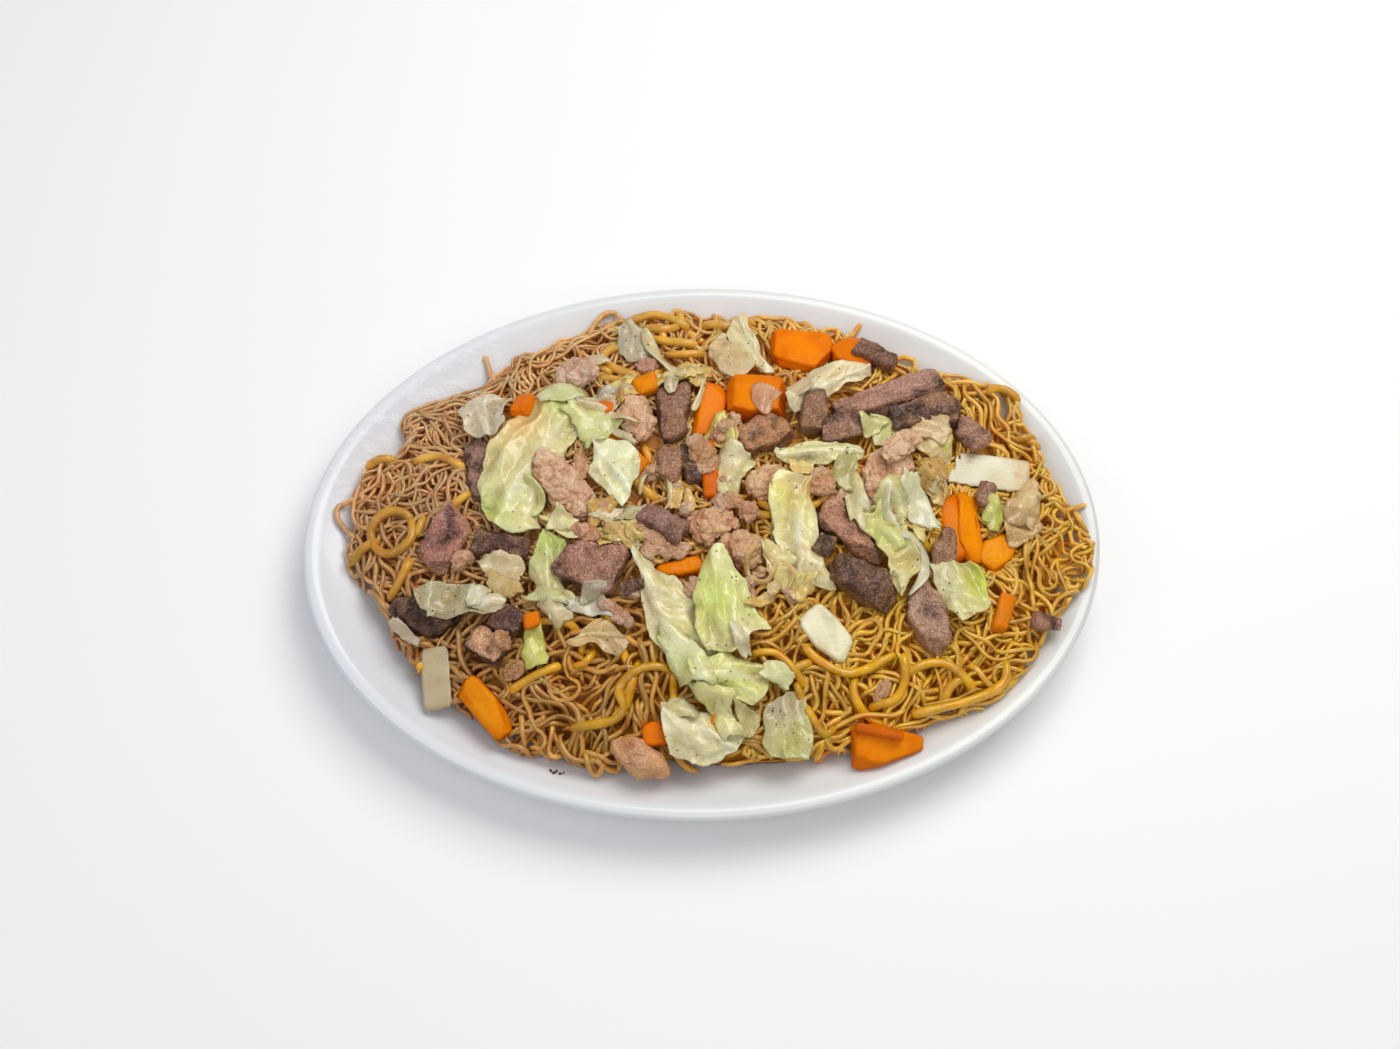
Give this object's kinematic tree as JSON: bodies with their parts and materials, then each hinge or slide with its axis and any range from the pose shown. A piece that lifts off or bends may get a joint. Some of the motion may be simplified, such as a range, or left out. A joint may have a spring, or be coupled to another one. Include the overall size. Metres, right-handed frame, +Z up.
{
  "type": "pancit",
  "caption": "Oval platter heaped with fried noodles and topped with carrot, liver, chicken and cabbage pieces.",
  "frame": {"origin": "centre of the platter's foot ring, on the plane it rests on", "axes": "+X along the platter, +Y across it, +Z up"},
  "size_m": [0.356, 0.256, 0.0607],
  "materials": {
    "glaze": "glossy white glaze",
    "noodle": "oily cooked noodles, amber and yellow",
    "carrot": "moist orange",
    "liver": "porous greyish purple-brown",
    "chicken": "cooked pinkish beige",
    "cabbage": "moist pale green"
  },
  "bodies": {
    "root": {"cabbage_01": "cabbage", "cabbage_02": "cabbage", "cabbage_03": "cabbage", "cabbage_04": "cabbage", "cabbage_05": "cabbage", "cabbage_06": "cabbage", "cabbage_07": "cabbage", "cabbage_08": "cabbage", "cabbage_09": "cabbage", "cabbage_10": "cabbage", "cabbage_11": "cabbage", "cabbage_12": "cabbage", "cabbage_13": "cabbage", "cabbage_14": "cabbage", "cabbage_15": "cabbage", "cabbage_16": "cabbage", "cabbage_17": "cabbage", "cabbage_18": "cabbage", "cabbage_19": "cabbage", "cabbage_20": "cabbage", "cabbage_21": "cabbage", "cabbage_22": "cabbage", "cabbage_23": "cabbage", "carrot_01": "carrot", "carrot_02": "carrot", "carrot_03": "carrot", "carrot_04": "carrot", "carrot_05": "carrot", "carrot_06": "carrot", "carrot_07": "carrot", "carrot_08": "carrot", "carrot_09": "carrot", "carrot_10": "carrot", "carrot_11": "carrot", "carrot_12": "carrot", "chicken_01": "chicken", "chicken_02": "chicken", "chicken_03": "chicken", "chicken_04": "chicken", "chicken_05": "chicken", "chicken_06": "chicken", "chicken_07": "chicken", "liver_01": "liver", "liver_02": "liver", "liver_03": "liver", "liver_04": "liver", "liver_05": "liver", "liver_06": "liver", "liver_07": "liver", "liver_08": "liver", "liver_09": "liver", "liver_10": "liver", "liver_11": "liver", "liver_12": "liver", "liver_13": "liver", "liver_14": "liver", "liver_15": "liver", "liver_16": "liver", "noodles": "noodle", "platter": "glaze"}
  },
  "joints": []
}
